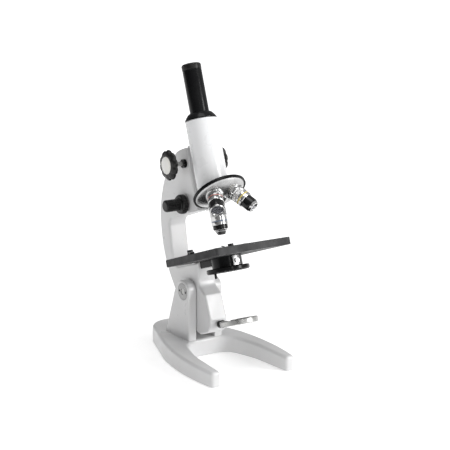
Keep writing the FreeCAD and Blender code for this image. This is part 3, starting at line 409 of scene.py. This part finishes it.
def machined_brass():
    metal = Surface("machined_brass", (0.70, 0.50, 0.22), 0.3, metallic=1.0)
    metal.mottle((0.42, 0.28, 0.11), 90, 0.6)
    metal.roughen(0.20, 0.45, 160)
    metal.grain(700, 0.02 * MM, (1, 1, 6))
    return metal.material


def pad_rubber():
    rubber = Surface("pad_rubber", (0.03, 0.03, 0.03), 0.75)
    rubber.mottle((0.07, 0.068, 0.065), 300, 0.7)
    rubber.roughen(0.62, 0.88, 300)
    rubber.grain(1200, 0.08 * MM)
    return rubber.material


def coated_glass():
    """Lens glass with a faint violet coating and a few dust specks."""
    glass = Surface(
        "coated_glass", (0.80, 0.82, 0.84), 0.02,
        IOR=1.52, Transmission_Weight=0.9, Coat_Weight=0.2, Coat_Tint=(0.80, 0.78, 0.95, 1),
    )
    glass.mottle((0.70, 0.70, 0.72), 500, 0.3)
    glass.roughen(0.01, 0.06, 400)
    return glass.material


def silvered_mirror():
    mirror = Surface("silvered_mirror", (0.90, 0.91, 0.91), 0.03, metallic=1.0)
    mirror.mottle((0.80, 0.80, 0.78), 260, 0.4)
    mirror.roughen(0.01, 0.07, 240)
    return mirror.material


def ring_enamel(name, color):
    """Coloured enamel filled into an objective's groove."""
    paint = Surface(name, color, 0.35, Coat_Weight=0.2)
    paint.mottle(tuple(0.6 * channel for channel in color), 500, 0.6)
    paint.roughen(0.28, 0.5, 500)
    paint.grain(1500, 0.02 * MM)
    return paint.material


# ---------------------------------------------------------------- mesh tools

SHARP_ANGLE = 38
MERGE_DISTANCE = 0.002 * MM


def measure(node, place):
    """Largest radius, lowest and highest height of a CAD node about the Z axis of a frame."""
    inverse = place.inverted()
    points = [inverse @ vertex.co for vertex in NODES[node].data.vertices]
    heights = [point.z for point in points]
    return max(math.hypot(point.x, point.y) for point in points), min(heights), max(heights)


def measure_mm(node, place):
    """The same in millimetres."""
    return tuple(value / MM for value in measure(node, place))


def soften(corners, radius, steps=4):
    """Closed profile with each corner rounded; a third value in a corner overrides the radius."""
    rounded = []
    for index, corner in enumerate(corners):
        here = Vector(corner[:2])
        before = Vector(corners[index - 1][:2]) - here
        after = Vector(corners[(index + 1) % len(corners)][:2]) - here
        wanted = corner[2] if len(corner) > 2 else radius
        reach = min(wanted, 0.45 * before.length, 0.45 * after.length)
        if reach <= 0 or here.x <= 0:
            rounded.append(here)
            continue
        start = here + before.normalized() * reach
        end = here + after.normalized() * reach
        for step in range(steps + 1):
            share = step / steps
            rounded.append(start.lerp(here, share).lerp(here.lerp(end, share), share))
    return rounded


def lathe(profile, place, segments=128, wave=None, mesh=None):
    """Turns a closed (radius, height) profile about the frame's Z.

    wave(angle, radius, height) gives the radius its final value.
    """
    mesh = mesh or bmesh.new()
    rings = []
    for step in range(segments):
        angle = math.tau * step / segments
        across = Vector((math.cos(angle), math.sin(angle), 0))
        ring = []
        for point in profile:
            radius = wave(angle, point[0], point[1]) if wave else point[0]
            ring.append(mesh.verts.new(place @ (across * radius + Vector((0, 0, point[1])))))
        rings.append(ring)
    for step in range(segments):
        near, far = rings[step], rings[(step + 1) % segments]
        for index in range(len(profile)):
            following = (index + 1) % len(profile)
            if profile[index][0] > 0 or profile[following][0] > 0:
                mesh.faces.new((near[index], near[following], far[following], far[index]))
    bmesh.ops.remove_doubles(mesh, verts=mesh.verts, dist=MERGE_DISTANCE)
    return mesh


def in_metres(corners):
    return [tuple(value * MM for value in corner) for corner in corners]


def add_piece(name, mesh, body, finish, replaced=()):
    """Closed mesh as a smooth-shaded piece that rides on a body and takes its finish from a slot."""
    bmesh.ops.recalc_face_normals(mesh, faces=mesh.faces)
    data = bpy.data.meshes.new(name)
    mesh.to_mesh(data)
    mesh.free()
    data.shade_smooth()
    data.set_sharp_from_angle(angle=math.radians(SHARP_ANGLE))
    data.materials.append(MATERIALS[finish])
    piece = bpy.data.objects.new(name, data)
    bpy.context.collection.objects.link(piece)
    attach(piece, body)
    if replaced:
        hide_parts(*replaced)
    return piece


def turned_piece(name, place, corners, body, finish, replaced, radius, segments=128, wave=None):
    """Lathe piece from corners, and the radius that softens them, in millimetres."""
    profile = soften(in_metres(corners), radius * MM)
    return add_piece(name, lathe(profile, place, segments, wave), body, finish, replaced)


def ridges(count, depth, low, high):
    """Knurling: ridges of a given depth between two heights, on radii near wave.outer only."""
    def wave(angle, radius, height):
        if low * MM <= height <= high * MM and radius > 0.8 * wave.outer:
            return radius - depth * MM * (0.5 - 0.5 * math.cos(count * angle))
        return radius
    wave.outer = 0
    return wave


# ---------------------------------------------------------------- optical tube and eyepiece

def draw_tube():
    radius, low, high = measure_mm("draw_tube", OPTICAL)
    wall, groove_depth = 0.75, 0.25
    bore = radius - wall
    groove = radius - groove_depth
    corners = [
        (bore, low), (radius, low), (radius, high - 1.2), (groove, high - 1.0),
        (groove, high - 0.6), (radius, high - 0.4), (radius, high), (bore, high),
    ]
    turned_piece(
        "draw_tube_shell", OPTICAL, corners, "tube", "black_paint", ["draw_tube"], 0.15,
    )


def eyepiece_cap():
    radius, low, high = measure_mm("eyepiece_cap", OPTICAL)
    socket, socket_top = 7.2, low + 4.0
    corners = [
        (socket, low), (radius - 0.3, low), (radius, low + 0.35), (radius, high - 1.4, 1.2),
        (radius - 1.6, high, 0.8), (9.2, high, 0.8), (6.2, high - 2.6, 0.8),
        (6.0, socket_top), (socket, socket_top),
    ]
    turned_piece(
        "eyecup", OPTICAL, corners, "eyepiece", "black_plastic", ["eyepiece_cap"], 0.3,
    )


def tube_collar():
    radius, low, high = measure_mm("tube_collar", OPTICAL)
    neck = measure_mm("draw_tube", OPTICAL)[0]
    top, inside = high - 9, radius - 3
    band, lip, steps = 1.2, 0.9, 8
    curve = []
    for step in range(steps + 1):
        rise = math.sin(step / steps * math.pi / 2.3) / math.sin(math.pi / 2.3)
        curve.append((radius - (radius - neck - lip) * step / steps, top + band + (high - top - band) * rise))
    corners = [(neck, low), (inside, low), (inside, top), (radius, top)] + curve + [(neck, high)]
    turned_piece(
        "cone_collar", OPTICAL, corners, "tube", "black_paint", ["tube_collar"], 0.25,
    )


# ---------------------------------------------------------------- nosepiece and objectives

SEAT_DEGREES = {"4x": 60, "10x": 300, "40x": 180}
RING_SLOTS = {"4x": "ring_red", "10x": "ring_yellow", "40x": "ring_blue"}
PIVOT_HOLE = 4.1


def seat_places():
    """Frames of the objectives' shoulders, by name, with Z pointing out of the seat."""
    along = (NOSE.translation - OPTICAL.translation).dot(NOSE_AXIS) / ARM_UP.dot(NOSE_AXIS)
    working = OPTICAL.translation + ARM_UP * along
    circle = (working - NOSE.translation).length
    lean = math.acos(-NOSE_AXIS.dot(ARM_UP))
    places = {}
    for name, degrees in SEAT_DEGREES.items():
        spin = Matrix.Rotation(math.radians(degrees), 4, "Z")
        seat = Matrix.Translation((0, circle, 0)) @ Matrix.Rotation(-lean, 4, "X")
        places[name] = NOSE @ spin @ seat
    return places


SEATS = seat_places()


def nosepiece_dome():
    """Satin dome with a rim and a plain ring at each of its three seats."""
    radius = measure_mm("nosepiece_dome", NOSE)[0]
    under, flat, flat_height, steps = -8.3, 7, 3, 14
    crown = [(radius, -7.6)]
    for step in range(1, steps + 1):
        rise = math.sin(step / steps * math.pi / 2) ** 0.9
        crown.append((radius + 0.1 - (radius - flat) * step / steps, -7.3 + 10.5 * rise))
    below, above = [(PIVOT_HOLE, under), (radius, under)], [(flat, flat_height), (PIVOT_HOLE, flat_height)]
    outline = below + crown + above
    body = lathe(soften(in_metres(outline), 0.3 * MM), NOSE)
    inner, outer, bottom, top = 8.3, 11.5, -6.5, -0.02
    ring = soften(in_metres([(inner, bottom), (outer, bottom), (outer, top), (inner, top)]), 0.5 * MM)
    for place in SEATS.values():
        lathe(ring, place, 96, None, body)
    add_piece("revolving_dome", body, "nosepiece", "nose_chrome", ["nosepiece_dome"])


def nosepiece_plate():
    """Black fixed plate whose milled rim shows round the dome."""
    radius, low, high = measure_mm("nosepiece_plate", NOSE)
    lip = 1.6
    corners = [
        (PIVOT_HOLE, low), (radius - 1.2, low, 0.8), (radius, low + 1, 0.6), (radius, high, 0.4),
        (radius - lip, high), (radius - lip, high - lip), (PIVOT_HOLE, high - lip),
    ]
    wave = ridges(120, 0.25, low + 1.3, high - 0.4)
    wave.outer = radius * MM
    turned_piece(
        "rim_plate", NOSE, corners, "tube", "black_paint", ["nosepiece_plate"],
        0.2, 480, wave,
    )


def objective_sleeve(name, milled, groove):
    """Chrome sleeve with a shoulder, a milled band and a groove filled with its colour."""
    place = SEATS[name]
    node = "objective_%s_sleeve" % name
    radius, low, high = measure_mm(node, place)
    bore, neck, barrel = 5, 8.2, radius - 1
    band, floor = barrel + 0.25, barrel - 0.5
    corners = [
        (bore, low), (neck, low), (neck, 0), (radius, 0), (radius, 2.4), (barrel, 3.2),
        (barrel, milled[0] - 0.4), (band, milled[0]), (band, milled[1]), (barrel, milled[1] + 0.4),
        (barrel, groove[0]), (floor, groove[0]), (floor, groove[1]), (barrel, groove[1]),
        (barrel, high - 0.7), (barrel - 0.6, high), (bore, high),
    ]
    wave = ridges(48, 0.25, *milled)
    wave.outer = barrel * MM
    turned_piece(
        "sleeve_%s" % name, place, corners, "nosepiece", "objective_chrome", [node],
        0.15, 360, wave,
    )
    inner, outer, start, end = barrel - 0.6, barrel - 0.12, groove[0] + 0.05, groove[1] - 0.05
    filling = [(inner, start), (outer, start), (outer, end), (inner, end)]
    ring_slot = RING_SLOTS[name]
    turned_piece("ring_%s" % name, place, filling, "nosepiece", ring_slot, (), 0.1)


def objective_nose(name, black, tip, tip_finish):
    """Black nose that stands for the CAD one, and its bright tip."""
    for finish, corners, slot, replaced in (
        ("gloss_black", black, "black_paint", ["objective_%s_nose" % name]),
        (tip_finish, tip, "chrome", ()),
    ):
        piece_name = "nose_%s_%s" % (name, finish)
        turned_piece(piece_name, SEATS[name], corners, "nosepiece", finish, replaced, 0.2)


def objectives():
    """Sleeves with coloured rings; black noses with bright tips."""
    objective_sleeve("4x", (4, 7.5), (9.4, 10.9))
    objective_sleeve("10x", (4, 9), (12, 13.8))
    objective_sleeve("40x", (4, 14), (20, 21.2))
    ends = {name: measure_mm("objective_%s_nose" % name, SEATS[name])[2] for name in SEATS}
    end = ends["4x"]
    objective_nose(
        "4x",
        [(6.6, 17), (9.2, 17), (9.2, end - 1.8), (6.6, end - 1.8)],
        [(6.7, end - 2.6), (9.1, end - 1.78), (8.9, end - 0.9), (8.3, end), (7.5, end), (6.7, end - 1.6)],
        "objective_chrome",
    )
    end = ends["10x"]
    objective_nose(
        "10x",
        [(5, 18), (8.9, 18), (8.9, end - 4.4), (8.4, end - 3), (5, end - 3)],
        [(4.9, end - 3.6), (8.3, end - 2.98), (7.4, end), (5.6, end), (4.9, end - 1.4)],
        "objective_chrome",
    )
    end = ends["40x"]
    objective_nose(
        "40x",
        [(4, 26), (9.5, 26), (9.5, 30.4), (8.6, 31.2), (4, 31.2)],
        [
            (2.3, 30.8), (8.4, 31.22), (7.9, 32.4), (7.3, 32.8), (7.0, 34), (4.7, end), (3, end),
            (2.3, end - 1.2),
        ],
        "bright_satin",
    )


# ---------------------------------------------------------------- knobs

def side_frame(joint, side):
    """Frame on a shaft whose Z points outwards on one side."""
    outwards = RIGHT * side
    return axes_frame(Vector(JOINTS[joint]["pos_m"]), ARM_UP.cross(outwards), ARM_UP, outwards)


def coarse_knob(name, side):
    """Lobed plastic knob with finger scallops; returns the mesh of the white disc in its face."""
    place = side_frame("coarse_knob_turn", side)
    node = "coarse_knob_%s" % name
    radius, low, high = measure_mm(node, place)
    bore, neck, neck_end, recess = 3, 7, low + 5, 11.3
    corners = [
        (bore, low), (neck, low), (neck, neck_end, 1.5), (radius - 2.5, neck_end, 1.5),
        (radius, neck_end + 2.4, 1.6), (radius, high - 3.6, 2.4), (radius - 2.6, high - 0.8, 1.6),
        (13.2, high, 1), (recess, high), (recess, high - 1), (bore, high - 1),
    ]
    count, lobe_depth, plain = 10, 2.0, 12

    def lobes(angle, radius_here, _height):
        depth = lobe_depth * MM * (0.5 - 0.5 * math.cos(count * angle)) ** 2.2
        share = min(1, max(0, (radius_here - plain * MM) / ((radius - plain) * MM)))
        return radius_here - depth * share

    turned_piece(
        "coarse_grip_%s" % name, place, corners, "coarse_knobs", "black_plastic", [node],
        0.5, 320, lobes,
    )
    back, groove, face = high - 0.98, high + 0.1, high + 0.35
    disc = [
        (0, back), (11.2, back), (11.2, groove), (10.6, face), (9.4, face), (9.2, groove),
        (8.8, groove), (8.6, face), (0, high + 0.4),
    ]
    return lathe(soften(in_metres(disc), 0.12 * MM), place)


def coarse_knobs():
    discs = coarse_knob("left", -1)
    other = coarse_knob("right", 1)
    spare = bpy.data.meshes.new("disc")
    other.to_mesh(spare)
    discs.from_mesh(spare)
    bpy.data.meshes.remove(spare)
    other.free()
    add_piece(
        "coarse_discs", discs, "coarse_knobs", "white_plastic", ["coarse_knob_inserts"],
    )


def fine_knob(name, side):
    """Stepped knob: a fluted skirt and a slimmer fluted grip."""
    place = side_frame("fine_knob_turn", side)
    node = "fine_knob_%s" % name
    radius, low, high = measure_mm(node, place)
    skirt, grip = 24, 7.8
    bore, bore_end = 2.5, high - 6
    corners = [
        (bore, low), (radius - 1, low), (radius, low + 1), (radius, low + 1.4), (radius, skirt - 2),
        (radius - 1.4, skirt), (grip + 0.8, skirt, 0.8), (grip, skirt + 1.2), (grip, skirt + 1.6),
        (grip, high - 2.2), (grip - 0.4, high - 1), (grip - 1.8, high), (0, high), (0, bore_end),
        (bore, bore_end),
    ]

    skirt_flutes, skirt_depth = 24, 0.55
    grip_flutes, grip_depth = 16, 0.5

    def flutes(angle, radius_here, height):
        level = height / MM
        if radius_here > (radius - 0.6) * MM and low + 1.2 < level < skirt - 1.8:
            return radius_here - skirt_depth * MM * (0.5 - 0.5 * math.cos(skirt_flutes * angle)) ** 2
        if radius_here > (grip - 0.2) * MM and skirt + 1.3 < level < high - 1.8:
            return radius_here - grip_depth * MM * (0.5 - 0.5 * math.cos(grip_flutes * angle)) ** 2
        return radius_here

    turned_piece(
        "fine_grip_%s" % name, place, corners, "fine_knobs", "black_plastic", [node],
        0.35, 384, flutes,
    )


# ---------------------------------------------------------------- stage clips

CLIP_SPLAY = 28
# Along the strip from its post, and its underside's height over the stage, in millimetres.
CLIP_PATH = [
    (13.8, 6.2), (10, 4.2), (6.5, 2.3), (4, 1.35), (0, 1.25), (-5, 1.3), (-12, 2.6),
    (-20, 3.3), (-28, 2.6), (-35, 0.9), (-38.5, 0.28), (-41, 0.6), (-43.5, 1.7),
]


def clip(name, side):
    """Bent spring strip: raised heel, flat under the post, arched, low near its upturned tip."""
    joint = JOINTS["clip_%s_swing" % name]
    top = measure("stage_plate", ARM)[2]
    post = ARM.inverted() @ Vector(joint["pos_m"])
    swing = Matrix.Rotation(math.radians(CLIP_SPLAY * side), 4, "Z")
    place = ARM @ Matrix.Translation((post.x, post.y, top)) @ swing
    thick, widest, taper, taper_start, taper_length = 0.6, 4.3, 1.3, -4, 38
    heel_start, tip_start, end_share = 5, -43, 0.62
    mesh = bmesh.new()
    rows = []
    for y, z in CLIP_PATH:
        half = widest - taper * min(1, max(0, taper_start - y) / taper_length)
        if y > heel_start or y < tip_start:
            half *= end_share
        row = [Vector((x * MM, y * MM, (z + rise) * MM)) for rise in (0, thick) for x in (-half, 0, half)]
        rows.append([mesh.verts.new(place @ point) for point in row])
    for near, far in zip(rows, rows[1:]):
        for first, second in ((0, 1), (1, 2), (2, 5), (5, 4), (4, 3), (3, 0)):
            mesh.faces.new((near[first], near[second], far[second], far[first]))
    for row in (rows[0], rows[-1]):
        mesh.faces.new((row[0], row[1], row[4], row[3]))
        mesh.faces.new((row[1], row[2], row[5], row[4]))
    node = "clip_%s" % name
    strip = add_piece("spring_%s" % node, mesh, node, "dark_steel", [node])
    smoothing = {
        "BEVEL": {"width": 0.15 * MM, "segments": 2},
        "SUBSURF": {"levels": 2, "render_levels": 2},
    }
    for kind, settings in smoothing.items():
        modifier = strip.modifiers.new(kind.lower(), kind)
        for setting, value in settings.items():
            setattr(modifier, setting, value)


# ---------------------------------------------------------------- build

add_camera()
add_studio()

MATERIALS = {
    "white_paint": white_enamel(),
    "tube_paint": white_tube_enamel(),
    "black_paint": black_enamel("black_enamel", 0.08),
    "gloss_black": black_enamel("gloss_black", 0.4),
    "crackle": stage_crackle(),
    "black_plastic": black_phenolic(),
    "white_plastic": white_insert(),
    "chrome": chrome(OPTICAL, "chrome"),
    "nose_chrome": satin_nickel(NOSE, "nose_chrome"),
    "nut_steel": turned_steel(ARM, "nut_steel", (0.34, 0.34, 0.34)),
    "bright_satin": turned_steel(OPTICAL, "bright_satin", (0.80, 0.80, 0.80)),
    "objective_chrome": chrome(OPTICAL, "objective_chrome"),
    "steel": turned_steel(ARM, "steel"),
    "dark_steel": blued_steel(),
    "brass": machined_brass(),
    "rubber": pad_rubber(),
    "glass": coated_glass(),
    "mirror": silvered_mirror(),
    "ring_red": ring_enamel("ring_red", (0.50, 0.17, 0.14)),
    "ring_yellow": ring_enamel("ring_yellow", (0.72, 0.58, 0.16)),
    "ring_blue": ring_enamel("ring_blue", (0.16, 0.22, 0.34)),
}
OWN_MATERIALS = {
    "body_tube": "tube_paint",
    "stage_plate": "crackle",
    # The condenser clamp's grey steel finish is a painted highlight: a bright strip standing in for the sheen down
    # the glossy black condenser drum.
    "condenser_clamp": "nut_steel",
    "hinge_nuts": "nut_steel",
}


def dress_nodes():
    """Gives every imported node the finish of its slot."""
    slots = {part["node"]: part["material_slot"] for part in frame["record"]["subparts"]}
    for name, obj in NODES.items():
        material = MATERIALS[OWN_MATERIALS.get(name, slots[name])]
        for slot in obj.material_slots:
            slot.material = material


dress_nodes()
draw_tube()
eyepiece_cap()
tube_collar()
nosepiece_dome()
nosepiece_plate()
objectives()
coarse_knobs()
for knob_name, knob_side in (("left", -1), ("right", 1)):
    fine_knob(knob_name, knob_side)
    clip(knob_name, knob_side)
